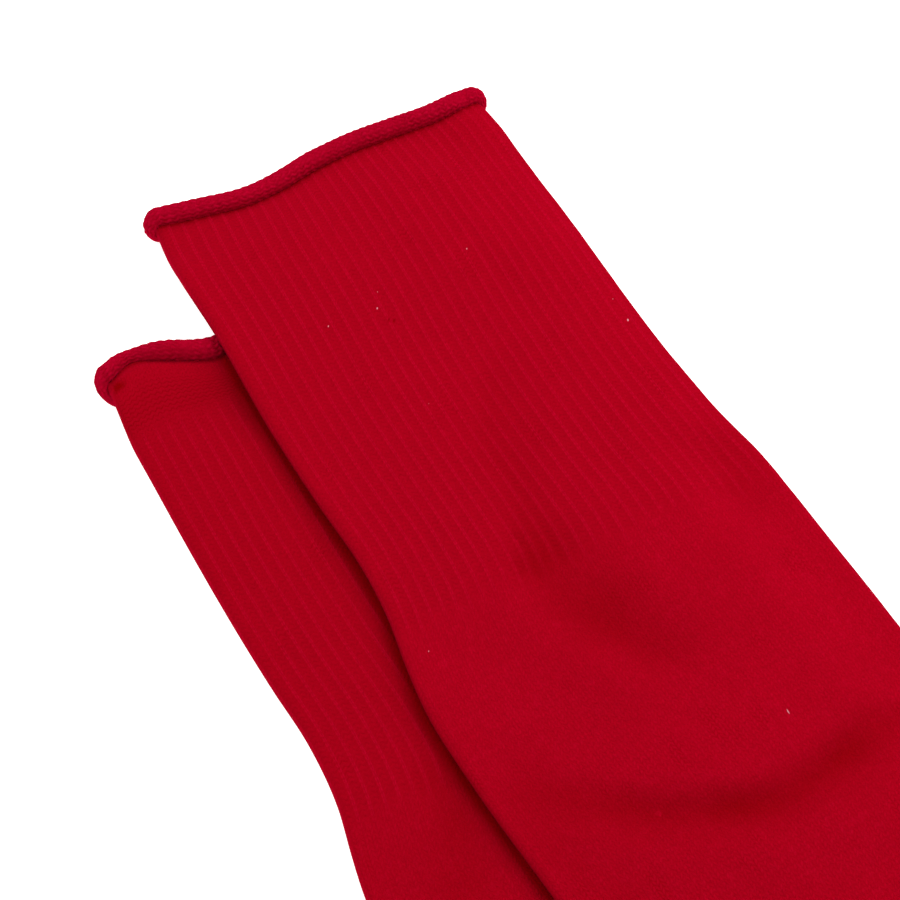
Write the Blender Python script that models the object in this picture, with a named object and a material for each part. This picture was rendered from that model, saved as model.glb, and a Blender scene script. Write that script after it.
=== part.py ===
"""A pair of knee-high football socks, laid flat with the feet turned to one side.

Each sock is one knitted tube with a real hollow: an edge that curls outwards into a roll, a ribbed top,
a plain leg, a heel, a foot and a closed toe. The upper sock lies over the lower one and drapes from it
to the ground. X runs along the legs, from the rolled edges to the feet. Y runs across them. Z is up.
All lengths are in metres, and angles are in degrees unless a name says otherwise."""

import math
from collections import namedtuple

import bmesh
import bpy
import numpy as np
from mathutils import Matrix

# The knitted cloth
WALL = 0.0016
SLOT = 0.0005  # between the two layers of a flat sock
EDGE_RADIUS = WALL + SLOT / 2
RIBS = 28  # across the upper face
RIB_RELIEF = 0.0003
RibPoint = namedtuple("RibPoint", "place height")
RIB_POINTS = (RibPoint(1 / 6, 0.0), RibPoint(1 / 2, 1.0), RibPoint(5 / 6, 0.0))

# The rolled edge. It is pressed flatter under the sock, and where the other sock lies on it.
ROLL_RADIUS = 0.00255
UNDER_ROLL_RADIUS = 0.0016
COVERED_ROLL_RADIUS = 0.0019
COVERED_FADE = 0.012
ROLL_STEPS = 7
CORNER_WIDTH = 0.010
EDGE_FADE = 0.030  # where the edge's own curve has died out
Bow = namedtuple("Bow", "across width height")  # where the edge bows towards the foot
EDGE_BOWS = (Bow(-0.020, 0.015, 0.0036), Bow(0.030, 0.022, 0.0013))
CUFF_LIFT = 2 * UNDER_ROLL_RADIUS - WALL
CUFF_LIFT_REACH = 0.018

# The flat outline of one sock, along its middle line
RIB_END = 0.150
LEG_STRAIGHT = 0.336
BEND_RADIUS = 0.055
BEND_LENGTH = BEND_RADIUS * math.radians(65)
FOOT_LENGTH = 0.152
SOCK_LENGTH = LEG_STRAIGHT + BEND_LENGTH + FOOT_LENGTH
TOE_LENGTH = 0.040
INNER_TOE_LENGTH = TOE_LENGTH - WALL
TOE_START = SOCK_LENGTH - TOE_LENGTH

Section = namedtuple("Section", "name along near far")
SECTIONS = (
    Section("rolled edge", 0.000, 0.0478, 0.0503),
    Section("below the roll", 0.012, 0.0492, 0.0518),
    Section("upper ribs", 0.040, 0.0500, 0.0525),
    Section("middle ribs", 0.105, 0.0496, 0.0525),
    Section("lower ribs", 0.122, 0.0487, 0.0536),
    Section("ribs widen", 0.140, 0.0498, 0.0563),
    Section("rib end", 0.152, 0.0519, 0.0570),
    Section("calf", 0.166, 0.0537, 0.0575),
    Section("full calf", 0.190, 0.0533, 0.0584),
    Section("low calf", 0.222, 0.0508, 0.0585),
    Section("thin leg", 0.290, 0.0465, 0.0510),
    Section("ankle", 0.331, 0.0430, 0.0470),
    Section("heel start", 0.351, 0.0410, 0.0560),
    Section("heel", 0.368, 0.0400, 0.0630),
    Section("heel end", 0.391, 0.0410, 0.0560),
    Section("instep", 0.421, 0.0430, 0.0460),
    Section("foot", 0.466, 0.0440, 0.0450),
    Section("toe", SOCK_LENGTH, 0.0430, 0.0440),
)

# How far the top layer stands off the bottom one. A fold's points are (along, across).
Fold = namedtuple("Fold", "name half_width height points")
UPPER_FOLDS = (
    Fold("calf fullness", 0.034, 0.0019, ((0.167, 0.012), (0.247, 0.000))),
    Fold("far bulge", 0.013, 0.0008, ((0.143, 0.031), (0.159, 0.034))),
    Fold("hollow", 0.010, -0.0013, ((0.125, -0.008), (0.153, -0.008), (0.169, 0.001))),
    Fold("crease", 0.006, -0.0013, ((0.194, -0.039), (0.211, -0.018), (0.223, 0.012), (0.222, 0.035))),
    Fold("heel fullness", 0.026, 0.0016, ((0.358, 0.006), (0.384, 0.004))),
)
LOWER_FOLDS = (
    Fold("calf fullness", 0.014, 0.0008, ((0.152, -0.036), (0.207, -0.036))),
    Fold("heel fullness", 0.012, 0.0006, ((0.358, 0.040), (0.384, 0.038))),
)

# How each sock lies: where its middle line starts, how far the near corner of its edge and its under roll
# are set back, how far its top roll sags in front of that, and where across the other sock covers it
Sock = namedtuple("Sock", "name edge_x middle_y corner set_back sag covered_from folds")
LOWER = Sock("LowerSock", 0.0286, -0.0291, 0.0035, 0.008, 0.0022, -0.016, LOWER_FOLDS)
UPPER = Sock("UpperSock", -0.0079, 0.0030, 0.0008, 0.003, 0.0, math.inf, UPPER_FOLDS)

# How the upper sock lies on the lower one
CLEARANCE = 0.0004
LOWER_HEIGHT = 2 * WALL + SLOT + RIB_RELIEF
DRAPE_HOLD = 0.006
DRAPE_REACH = 0.022
ROLL_BUMP_HIGH = 0.0030
ROLL_BUMP_LOW = 0.0017
ROLL_BUMP_MIDDLE = LOWER.edge_x + LOWER.set_back / 2
ROLL_BUMP_HOLD = 0.008
ROLL_BUMP_REACH = 0.020

# How fine the solids are
FACE_COLUMNS = 16
ROUND_EDGE = (90, 45, 0, -45, -90)
SLOT_EDGE = (90, 0, -90)
RIB_STATIONS = (0.012, 0.024, 0.036, 0.048, 0.062, 0.083, 0.105, 0.128, RIB_END)
Stretch = namedtuple("Stretch", "name end step")
STRETCHES = (
    Stretch("calf", 0.242, 0.0115),
    Stretch("leg", LEG_STRAIGHT, 0.0240),
    Stretch("bend", LEG_STRAIGHT + BEND_LENGTH, 0.0090),
    Stretch("foot", TOE_START, 0.0280),
)
TOE_TURNS = (22, 40, 55, 68, 80)

RED = (0.42, 0.0012, 0.011, 1.0)
ROUGHNESS = 0.85

RingPoint = namedtuple("RingPoint", "order part side angle height")


def smooth_step(value):
    part = min(max(value, 0.0), 1.0)
    return part * part * (3 - 2 * part)


def nearest_on_line(point, corners):
    """The distance from a point to an open line of corners."""
    corners = np.array(corners)
    runs = np.diff(corners, axis=0)
    offsets = np.array(point) - corners[:-1]
    share = np.clip((offsets * runs).sum(axis=1) / (runs * runs).sum(axis=1), 0, 1)
    return np.linalg.norm(offsets - runs * share[:, None], axis=1).min()


def half_width(side, along):
    """The near or far half width at a distance along the sock: a smooth curve through the sections."""
    places = [row.along for row in SECTIONS]
    widths = [getattr(row, side) for row in SECTIONS]
    slopes = np.gradient(widths, places)
    row = min(max(int(np.searchsorted(places, along)) - 1, 0), len(places) - 2)
    step = places[row + 1] - places[row]
    part = min(max((along - places[row]) / step, 0.0), 1.0)
    blend = smooth_step(part)
    bend = part * (1 - part) * step * ((1 - part) * slopes[row] - part * slopes[row + 1])
    return widths[row] * (1 - blend) + widths[row + 1] * blend + bend


def toe_share(along, toe_length):
    """How much of its width the rounded toe keeps, from 1 where it starts to 0 at its tip."""
    part = max(along - TOE_START, 0.0) / toe_length
    return math.sqrt(max(1 - part * part, 0.0))


def on_plan(sock, along, across):
    """(x, y) of a point beside the sock's middle line: a straight leg, a bend at the heel, a foot."""
    turn = min(max(along - LEG_STRAIGHT, 0.0), BEND_LENGTH) / BEND_RADIUS
    foot = max(along - LEG_STRAIGHT - BEND_LENGTH, 0.0)
    radius = BEND_RADIUS + across
    x = min(along, LEG_STRAIGHT) + radius * math.sin(turn) + foot * math.cos(turn)
    y = radius * math.cos(turn) - BEND_RADIUS - foot * math.sin(turn)
    return sock.edge_x + x, sock.middle_y + y


def outline(sock, step=0.006):
    """The sock's flat outline, from its rolled edge down one side, round the toe and back."""
    sides = []
    for side, sign in (("near", -1), ("far", 1)):
        places = np.arange(0.0, SOCK_LENGTH, step)
        widths = [half_width(side, place) * toe_share(place, TOE_LENGTH) for place in places]
        front = on_plan(sock, -2 * ROLL_RADIUS, sign * widths[0])
        sides.append([front] + [on_plan(sock, place, sign * width) for place, width in zip(places, widths)])
    return np.array(sides[0] + [on_plan(sock, SOCK_LENGTH, 0.0)] + sides[1][::-1])


LOWER_OUTLINE = outline(LOWER)


def distance_outside(x, y, corners):
    """How far a point lies outside a closed outline. It is zero inside."""
    ends = np.roll(corners, -1, axis=0)
    spans = (corners[:, 1] > y) != (ends[:, 1] > y)
    starts, ends = corners[spans], ends[spans]
    crossings = starts[:, 0] + (y - starts[:, 1]) / (ends[:, 1] - starts[:, 1]) * (ends[:, 0] - starts[:, 0])
    if np.count_nonzero(crossings > x) % 2:
        return 0.0
    return nearest_on_line((x, y), np.vstack([corners, corners[:1]]))


def height_over_lower(x, y):
    """The upper sock's underside: level on the lower sock, over its roll, down to the ground beside it."""
    hold = 1 - smooth_step((distance_outside(x, y, LOWER_OUTLINE) - DRAPE_HOLD) / DRAPE_REACH)
    covered = smooth_step((y - LOWER.middle_y - LOWER.covered_from) / COVERED_FADE)
    bump = ROLL_BUMP_HIGH + (ROLL_BUMP_LOW - ROLL_BUMP_HIGH) * covered
    rise = bump * (1 - smooth_step((abs(x - ROLL_BUMP_MIDDLE) - ROLL_BUMP_HOLD) / ROLL_BUMP_REACH))
    return hold * (LOWER_HEIGHT + CLEARANCE + rise)


def underside(sock, x, y):
    return height_over_lower(x, y) if sock is UPPER else 0.0


def stand_off(sock, along, across, part):
    """How far the top layer stands off the bottom one. part is -1 and 1 at the sides, where they meet."""
    rises = [
        fold.height * math.exp(-((nearest_on_line((along, across), fold.points) / fold.half_width) ** 2))
        for fold in sock.folds
    ]
    return max(sum(rises), 0.0) * math.sqrt(1 - part * part)


def roll_radius(sock, across, under):
    """The roll's radius. under is 0 on the top layer and 1 on the bottom one."""
    covered = smooth_step((across - sock.covered_from) / COVERED_FADE)
    top = ROLL_RADIUS + (COVERED_ROLL_RADIUS - ROLL_RADIUS) * covered
    return top + (UNDER_ROLL_RADIUS - top) * under


def edge_curve(sock, across):
    """How far the rolled edge curves towards the foot."""
    bows = [bow.height * math.exp(-(((across - bow.across) / bow.width) ** 2)) for bow in EDGE_BOWS]
    corner = 1 + (-across - SECTIONS[0].near) / CORNER_WIDTH
    return sum(bows) + sock.corner * max(corner, 0.0) ** 2


def ring_of(top_points, edge_angles):
    """A ring's points in order: the top layer, the far edge, the bottom layer, the near edge."""
    bottom = [(column + 0.5) / FACE_COLUMNS for column in range(FACE_COLUMNS)]
    ring = [RingPoint(part, 2 * part - 1, 1, 90, height) for part, height in top_points]
    ring += [RingPoint(1 + (90 - angle) / 180, 1, 1, angle, 0) for angle in edge_angles]
    ring += [RingPoint(2 + part, 1 - 2 * part, -1, -90, 0) for part in bottom]
    ring += [RingPoint(3 + (90 + angle) / 180, -1, -1, angle, 0) for angle in reversed(edge_angles)]
    return ring


PLAIN_TOP = [((column + 0.5) / FACE_COLUMNS, 0) for column in range(FACE_COLUMNS)]
RIB_TOP = [((rib + point.place) / RIBS, point.height) for rib in range(RIBS) for point in RIB_POINTS]
RIB_RING = ring_of(RIB_TOP, ROUND_EDGE)
PLAIN_RING = ring_of(PLAIN_TOP, ROUND_EDGE)
INNER_RING = ring_of(PLAIN_TOP, SLOT_EDGE)


def flat_half(side, along, toe_length):
    """The half width of a ring's flat part. The inner side has the shorter toe."""
    width = half_width(side, along)
    share = toe_share(along, toe_length)
    if toe_length < TOE_LENGTH:
        return (width - EDGE_RADIUS) * share
    return width * share - EDGE_RADIUS


def outer_side(across, under):
    return 0.0, WALL


def inner_side(across, under):
    return 0.0, 0.0


def place_point(sock, along, point, profile, toe_length):
    """A ring point in space. profile gives its steps forward along the sock and outward from the hollow."""
    near = flat_half("near", along, toe_length)
    far = flat_half("far", along, toe_length)
    across = (far - near + point.part * (near + far)) / 2
    out_up = math.sin(math.radians(point.angle))
    under = (1 - out_up) / 2
    forward, outward = profile(across, under)
    fade = 1 - smooth_step((along - ROLL_RADIUS) / EDGE_FADE)
    curve = edge_curve(sock, across) * fade
    past_edge = along + sock.set_back * under * fade
    lift = CUFF_LIFT * (1 - smooth_step((past_edge - sock.set_back - ROLL_RADIUS) / CUFF_LIFT_REACH))
    lift -= sock.sag * (1 - under) * (1 - smooth_step(past_edge / (sock.set_back - UNDER_ROLL_RADIUS)))
    if point.angle == 90:
        lift += stand_off(sock, along, across, point.part)
    reach = SLOT / 2 + outward + RIB_RELIEF * point.height
    across += point.side * math.cos(math.radians(point.angle)) * reach
    x, y = on_plan(sock, past_edge + curve + forward, across)
    return x, y, underside(sock, x, y) + EDGE_RADIUS + lift + reach * out_up


def add_ring(mesh, sock, along, ring, profile, toe_length=TOE_LENGTH):
    """One ring of vertices, each with its order round the ring."""
    return [
        (point.order, mesh.verts.new(place_point(sock, along, point, profile, toe_length)))
        for point in ring
    ]


def bridge(mesh, first, second):
    """Joins two rings with triangles, going round both in step even where one has more points."""
    first = first + [(first[0][0] + 4, first[0][1])]
    second = second + [(second[0][0] + 4, second[0][1])]
    here, there = 0, 0
    while here < len(first) - 1 or there < len(second) - 1:
        next_here = first[here + 1][0] if here < len(first) - 1 else math.inf
        next_there = second[there + 1][0] if there < len(second) - 1 else math.inf
        if next_here <= next_there:
            mesh.faces.new((first[here][1], first[here + 1][1], second[there][1]))
            here += 1
        else:
            mesh.faces.new((first[here][1], second[there + 1][1], second[there][1]))
            there += 1


def roll_profile(sock, step):
    """One step round the rolled edge, from the wall's inner side past the front to its outer side."""

    def profile(across, under):
        radius = roll_radius(sock, across, under)
        last_turn = 1.5 * math.pi + math.asin(1 - WALL / radius)
        turn = -math.pi / 2 - last_turn * step / ROLL_STEPS
        return radius * math.cos(turn), radius + radius * math.sin(turn)

    return profile


def plain_stations():
    """The places of the rings from the rib end to where the toe starts."""
    places = []
    start = RIB_END
    for stretch in STRETCHES:
        count = round((stretch.end - start) / stretch.step)
        places += list(np.linspace(start, stretch.end, count + 1)[1:])
        start = stretch.end
    return places


def toe_stations(toe_length):
    return [TOE_START + toe_length * math.sin(math.radians(turn)) for turn in TOE_TURNS]


def sock_mesh(sock):
    """The sock as one closed wall: up its inner side from the toe, round the roll, down its outer side."""
    mesh = bmesh.new()
    inner_places = [0.0, *RIB_STATIONS, *plain_stations(), *toe_stations(INNER_TOE_LENGTH)]
    outer_places = [*plain_stations(), *toe_stations(TOE_LENGTH)]
    rings = [
        add_ring(mesh, sock, place, INNER_RING, inner_side, INNER_TOE_LENGTH)
        for place in reversed(inner_places)
    ]
    for step in range(1, ROLL_STEPS + 1):
        rings.append(add_ring(mesh, sock, 0.0, PLAIN_RING, roll_profile(sock, step)))
    rings += [add_ring(mesh, sock, place, RIB_RING, outer_side) for place in RIB_STATIONS]
    rings += [add_ring(mesh, sock, place, PLAIN_RING, outer_side) for place in outer_places]
    for first, second in zip(rings, rings[1:]):
        bridge(mesh, first, second)
    for ring in (rings[0], rings[-1]):
        mesh.faces.new([vertex for _, vertex in ring])
    bmesh.ops.recalc_face_normals(mesh, faces=mesh.faces)
    return mesh


def knit_material():
    material = bpy.data.materials.new("RedKnit")
    material.use_nodes = True
    shader = material.node_tree.nodes["Principled BSDF"]
    shader.inputs["Base Color"].default_value = RED
    shader.inputs["Roughness"].default_value = ROUGHNESS
    shader.inputs["Metallic"].default_value = 0.0
    return material


def add_sock(sock, material):
    mesh = sock_mesh(sock)
    data = bpy.data.meshes.new(sock.name)
    mesh.to_mesh(data)
    mesh.free()
    data.materials.append(material)
    data.shade_smooth()
    data.set_sharp_from_angle(angle=math.radians(50))
    made = bpy.data.objects.new(sock.name, data)
    bpy.context.scene.collection.objects.link(made)
    return made


def stand_on_origin(objects):
    """Moves the meshes so that the origin is the middle of the underside of their common box."""
    points = np.array([vertex.co for made in objects for vertex in made.data.vertices])
    low, high = points.min(axis=0), points.max(axis=0)
    middle = ((low[0] + high[0]) / 2, (low[1] + high[1]) / 2, low[2])
    for made in objects:
        made.data.transform(Matrix.Translation(middle).inverted())


def main():
    for old in list(bpy.data.objects):
        bpy.data.objects.remove(old, do_unlink=True)
    material = knit_material()
    stand_on_origin([add_sock(sock, material) for sock in (LOWER, UPPER)])


main()
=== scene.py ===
"""The looks of a pair of red football socks that lie flat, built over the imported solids.

Each sock is a knitted shell on its solid's own form, with ribs, creases and small unevenness in the mesh,
and a rope-like rolled edge of wavy yarn rows. The stitches and the fuzz are in the knit's material.
X runs along the legs, Y across them and Z is up. All lengths are in metres. Angles are in degrees in the
named values and in radians in the functions."""

import math
from collections import namedtuple

import bpy
import numpy as np
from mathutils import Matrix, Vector


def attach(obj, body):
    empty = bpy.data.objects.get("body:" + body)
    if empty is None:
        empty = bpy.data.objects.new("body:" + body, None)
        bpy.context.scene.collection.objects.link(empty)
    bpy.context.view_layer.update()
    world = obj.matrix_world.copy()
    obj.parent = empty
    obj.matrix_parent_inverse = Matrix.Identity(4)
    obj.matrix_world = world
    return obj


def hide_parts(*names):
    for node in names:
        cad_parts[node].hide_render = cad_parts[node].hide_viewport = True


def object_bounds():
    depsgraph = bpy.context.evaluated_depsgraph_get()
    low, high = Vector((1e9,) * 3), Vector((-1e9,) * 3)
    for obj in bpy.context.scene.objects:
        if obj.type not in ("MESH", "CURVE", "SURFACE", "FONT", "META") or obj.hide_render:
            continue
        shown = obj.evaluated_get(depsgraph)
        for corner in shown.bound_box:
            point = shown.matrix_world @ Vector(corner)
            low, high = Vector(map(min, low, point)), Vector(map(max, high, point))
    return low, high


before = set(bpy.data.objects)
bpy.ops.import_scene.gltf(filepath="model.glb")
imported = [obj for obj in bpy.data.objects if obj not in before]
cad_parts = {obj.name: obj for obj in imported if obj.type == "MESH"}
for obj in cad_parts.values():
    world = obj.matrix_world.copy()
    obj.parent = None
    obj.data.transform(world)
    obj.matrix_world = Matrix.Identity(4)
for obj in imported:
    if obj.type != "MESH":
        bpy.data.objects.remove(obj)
CAD_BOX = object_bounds()

# The knitted cloth. A wale is a column of stitches, and a course is a row of them.
WALL = 0.0016
SLOT = 0.0005  # between the two layers of a flat sock
EDGE_RADIUS = WALL + SLOT / 2
RIBS = 29  # across the upper face
WALES_A_RIB = 2
EDGE_WALES = 3  # round each side edge
WALE_WIDTH = 0.0018
RIB_COURSE = 0.00149  # from one course to the next in the ribs
PLAIN_COURSE = 0.00133  # and below them

# The rolled edge, a little fuller than in the solids. It is pressed flatter under the sock, and where the
# other sock lies on it, and it thins towards its corners.
ROLL_RADIUS = 0.00275
LOWER_ROLL_RADIUS = 0.0031
UNDER_ROLL_RADIUS = 0.0016
COVERED_ROLL_RADIUS = 0.0019
COVERED_FADE = 0.012
CORNER_FROM = 0.040  # from the middle line
CORNER_WIDTH = 0.010
CORNER_TAPER = 0.0003
EDGE_FADE = 0.030  # the way along the sock in which the edge's own curve dies out

# Soft bumps, each at a place on a line: how the rolled edge bows towards the foot, how a side of a sock
# swells past its section, and where the roll has a thin neck. The first two bows of each edge are the
# solids' own. The first SOLID_BOWS, without the finer ones, place it on the solids.
SOLID_BOWS = 3
Bow = namedtuple("Bow", "place width height")
UPPER_BOWS = (
    Bow(-0.020, 0.015, 0.0036),
    Bow(0.030, 0.022, 0.0013),
    Bow(-0.026, 0.014, 0.0012),
    Bow(0.000, 0.200, 0.0003),
    Bow(-0.008, 0.009, 0.0009),
    Bow(0.004, 0.006, 0.0005),
    Bow(0.038, 0.010, 0.0009),
    Bow(-0.040, 0.006, 0.0003),
)
LOWER_BOWS = (
    Bow(-0.020, 0.015, 0.0036),
    Bow(0.030, 0.022, 0.0013),
    Bow(-0.016, 0.014, 0.0038),
    Bow(-0.019, 0.007, 0.0016),
    Bow(-0.040, 0.010, 0.0015),
    Bow(-0.039, 0.007, -0.0020),
)
UPPER_SWELLS = {"near": (Bow(0.026, 0.014, 0.0007),), "far": (Bow(0.020, 0.060, -0.0008),)}
LOWER_SWELLS = {"near": (Bow(0.170, 0.022, 0.0016), Bow(0.000, 0.008, 0.0003)), "far": ()}
LOWER_NECKS = (Bow(-0.039, 0.006, 0.0011),)

# The under roll lifts the sock off the ground at its edge
CUFF_LIFT = 2 * UNDER_ROLL_RADIUS - WALL
CUFF_LIFT_REACH = 0.018

# The flat outline of one sock, along its middle line, as in the solids
RIB_END = 0.150
LEG_STRAIGHT = 0.336
BEND_RADIUS = 0.055
BEND_TURN = 65
BEND_LENGTH = BEND_RADIUS * math.radians(BEND_TURN)
FOOT_LENGTH = 0.152
SOCK_LENGTH = LEG_STRAIGHT + BEND_LENGTH + FOOT_LENGTH
TOE_LENGTH = 0.040
INNER_TOE_LENGTH = TOE_LENGTH - WALL
TOE_START = SOCK_LENGTH - TOE_LENGTH
LEAST_HALF = 0.0002  # of a ring's flat part, at the tip of the toe

Section = namedtuple("Section", "name along near far")
SECTIONS = (
    Section("rolled edge", 0.000, 0.0478, 0.0503),
    Section("below the roll", 0.012, 0.0492, 0.0518),
    Section("upper ribs", 0.040, 0.0500, 0.0525),
    Section("middle ribs", 0.105, 0.0496, 0.0525),
    Section("lower ribs", 0.122, 0.0487, 0.0536),
    Section("ribs widen", 0.140, 0.0498, 0.0563),
    Section("rib end", 0.152, 0.0519, 0.0570),
    Section("calf", 0.166, 0.0537, 0.0575),
    Section("full calf", 0.190, 0.0533, 0.0584),
    Section("low calf", 0.222, 0.0508, 0.0585),
    Section("thin leg", 0.290, 0.0465, 0.0510),
    Section("ankle", 0.331, 0.0430, 0.0470),
    Section("heel start", 0.351, 0.0410, 0.0560),
    Section("heel", 0.368, 0.0400, 0.0630),
    Section("heel end", 0.391, 0.0410, 0.0560),
    Section("instep", 0.421, 0.0430, 0.0460),
    Section("foot", 0.466, 0.0440, 0.0450),
    Section("toe", SOCK_LENGTH, 0.0430, 0.0440),
)

# Folds of the top layer: the solids' large ones, some of them a little stronger, and others that are only
# here. A fold's points are (along, across), right and left are its widths on the two sides of that way,
# height is above the flat cloth, and shade is how much painted shade darkens the cloth in it. Each fold is a
# little uneven in height and width, in waves along its way that start differently for each row of the table.
Fold = namedtuple("Fold", "name right left height shade points")
FOLD_UNEVEN = 0.18
FOLD_WAVES = 1.3
FOLD_STEP = 0.37  # of a wave from one row to the next
WIDTH_UNEVEN = 0.15
WIDTH_STEP = 0.61
DEEPEST = 0.6 * SLOT  # the folds press the top layer down no further than this
CREASE_WAY = ((0.198, -0.041), (0.215, -0.021), (0.226, 0.004), (0.223, 0.024), (0.219, 0.037))
DIMPLE_WAY = ((0.0057, -0.0480), (0.0062, -0.0460), (0.0072, -0.0448))
UPPER_FOLDS = (
    Fold("calf fullness", 0.034, 0.034, 0.0023, 0.0, ((0.167, 0.012), (0.247, 0.000))),
    Fold("far side fullness", 0.010, 0.008, 0.0046, 0.0, ((0.010, 0.0445), (0.122, 0.0450))),
    Fold("far bulge", 0.013, 0.013, 0.0009, 0.0, ((0.143, 0.031), (0.159, 0.034))),
    Fold("hollow", 0.007, 0.012, -0.0018, 0.38, ((0.145, -0.011), (0.158, -0.009), (0.178, 0.000))),
    Fold("crease", 0.008, 0.0045, -0.0016, 0.36, CREASE_WAY),
    Fold("heel fullness", 0.026, 0.026, 0.0016, 0.0, ((0.358, 0.006), (0.384, 0.004))),
    Fold("far rib fullness", 0.013, 0.013, 0.0006, 0.0, ((0.085, 0.022), (0.135, 0.014))),
    Fold("near rib fullness", 0.012, 0.012, 0.0008, 0.0, ((0.088, -0.018), (0.140, -0.028))),
    Fold("rib valley", 0.005, 0.008, -0.0005, 0.10, ((0.094, 0.003), (0.112, -0.001), (0.130, -0.006))),
    Fold("hollow's lip", 0.006, 0.004, 0.0005, 0.0, ((0.134, -0.018), (0.158, -0.024), (0.184, -0.010))),
    Fold("crease's depth", 0.004, 0.003, -0.0004, 0.25, ((0.222, -0.006), (0.2265, 0.008), (0.222, 0.028))),
    Fold("far dip", 0.006, 0.006, -0.0008, 0.12, ((0.137, 0.046), (0.152, 0.045))),
    Fold("near calf shadow", 0.006, 0.006, -0.0005, 0.15, ((0.212, -0.046), (0.230, -0.040))),
    Fold("crease's ridge", 0.009, 0.008, 0.0006, 0.0, ((0.209, -0.038), (0.224, -0.026), (0.238, -0.004))),
    Fold("second ridge", 0.008, 0.008, 0.0006, 0.0, ((0.236, 0.014), (0.242, 0.036))),
    Fold("roll's ridge", 0.006, 0.006, 0.0004, 0.0, ((0.020, 0.010), (0.060, 0.016), (0.086, 0.018))),
    Fold("thin leg wrinkle", 0.005, 0.005, -0.0006, 0.2, ((0.281, -0.030), (0.290, -0.004), (0.286, 0.022))),
    Fold("shin fullness", 0.020, 0.020, 0.0010, 0.0, ((0.270, 0.006), (0.312, 0.004))),
    Fold("ankle crease", 0.004, 0.006, -0.0011, 0.3, ((0.339, -0.040), (0.350, -0.018), (0.354, 0.010))),
    Fold("instep crease", 0.004, 0.006, -0.0010, 0.3, ((0.372, -0.039), (0.372, -0.016), (0.366, 0.012))),
    Fold("instep ridge", 0.005, 0.005, 0.0007, 0.0, ((0.360, -0.038), (0.362, -0.012))),
    Fold("sole wrinkle", 0.006, 0.004, -0.0006, 0.2, ((0.406, 0.040), (0.418, 0.014), (0.416, -0.012))),
    Fold("foot fullness", 0.022, 0.022, 0.0010, 0.0, ((0.420, 0.002), (0.492, 0.000))),
    Fold("toe wrinkle", 0.005, 0.005, -0.0005, 0.2, ((0.486, 0.030), (0.492, 0.006))),
    Fold("closed ribs", 0.007, 0.007, -0.0003, 0.06, ((0.104, -0.004), (0.126, -0.008), (0.144, -0.011))),
)
LOWER_FOLDS = (
    Fold("calf fullness", 0.014, 0.014, 0.0008, 0.0, ((0.152, -0.036), (0.207, -0.036))),
    Fold("heel fullness", 0.012, 0.012, 0.0006, 0.0, ((0.358, 0.040), (0.384, 0.038))),
    Fold("near rib fullness", 0.010, 0.010, 0.0004, 0.0, ((0.040, -0.034), (0.110, -0.032))),
    Fold("corner dimple", 0.0013, 0.0013, -0.0006, 1.0, DIMPLE_WAY),
    Fold("calf hollow", 0.007, 0.007, -0.0007, 0.25, ((0.150, -0.026), (0.172, -0.034))),
    Fold("heel wrinkle", 0.004, 0.004, -0.0004, 0.2, ((0.352, 0.050), (0.366, 0.036))),
)

# Specks on the upper faces: pale lint and small dark snags
Speck = namedtuple("Speck", "kind along across strength")
UPPER_SPECKS = (
    Speck("snag", 0.0621, -0.0086, 1.0),
    Speck("snag", 0.0628, -0.0080, 1.0),
    Speck("lint", 0.0569, -0.0099, 0.75),
    Speck("lint", 0.0564, -0.0236, 0.70),
    Speck("lint", 0.0513, 0.0198, 0.70),
    Speck("lint", 0.0526, -0.0076, 0.58),
    Speck("lint", 0.0804, 0.0474, 0.58),
    Speck("lint", 0.0901, -0.0121, 0.54),
    Speck("lint", 0.0886, 0.0472, 0.90),
    Speck("lint", 0.1530, -0.0457, 0.64),
    Speck("lint", 0.2073, 0.0194, 0.64),
)
LOWER_SPECKS = (Speck("snag", 0.0669, -0.0190, 1.0),)

# How each sock lies, nearly as in the solids. Its middle line starts at edge_x and middle_y. corner and
# set_back are how far the near corner of its edge and its under roll lie back from the edge, and sag is
# how far its top roll sinks in front of its under roll. radius is its top roll's, and covered_from is
# where across the other sock starts to cover it. lean is how far the middle of its ribs wanders to the far
# side at the roll and to the near side at their end, and rib_start is where along the sock they begin.
# seed starts its own small unevenness.
Sock = namedtuple(
    "Sock",
    "name edge_x middle_y corner set_back sag radius covered_from bows swells necks lean folds specks "
    "rib_start seed",
)
LOWER = Sock(
    name="LowerSock",
    edge_x=0.0286,
    middle_y=-0.0291,
    corner=0.0035,
    set_back=0.008,
    sag=0.0022,
    radius=LOWER_ROLL_RADIUS,
    covered_from=-0.020,
    bows=LOWER_BOWS,
    swells=LOWER_SWELLS,
    necks=LOWER_NECKS,
    lean=0.0,
    folds=LOWER_FOLDS,
    specks=LOWER_SPECKS,
    rib_start=0.020,
    seed=11,
)
UPPER = Sock(
    name="UpperSock",
    edge_x=-0.0079,
    middle_y=0.0030,
    corner=-0.0012,
    set_back=0.003,
    sag=0.0,
    radius=ROLL_RADIUS,
    covered_from=math.inf,
    bows=UPPER_BOWS,
    swells=UPPER_SWELLS,
    necks=(),
    lean=0.003,
    folds=UPPER_FOLDS,
    specks=UPPER_SPECKS,
    rib_start=-0.003,
    seed=5,
)

# How the upper sock lies on the lower one: it drapes beside it, and it rises over its roll
CLEARANCE = 0.0004
SOLID_RIB = 0.0003  # how high the ribs stand in the solids
LOWER_HEIGHT = 2 * WALL + SLOT + SOLID_RIB
DRAPE_HOLD = 0.006
DRAPE_REACH = 0.022
ROLL_BUMP_HIGH = 0.0030
ROLL_BUMP_LOW = 0.0017
ROLL_BUMP_MIDDLE = LOWER.edge_x + LOWER.set_back / 2
ROLL_BUMP_HOLD = 0.008
ROLL_BUMP_REACH = 0.030

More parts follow.
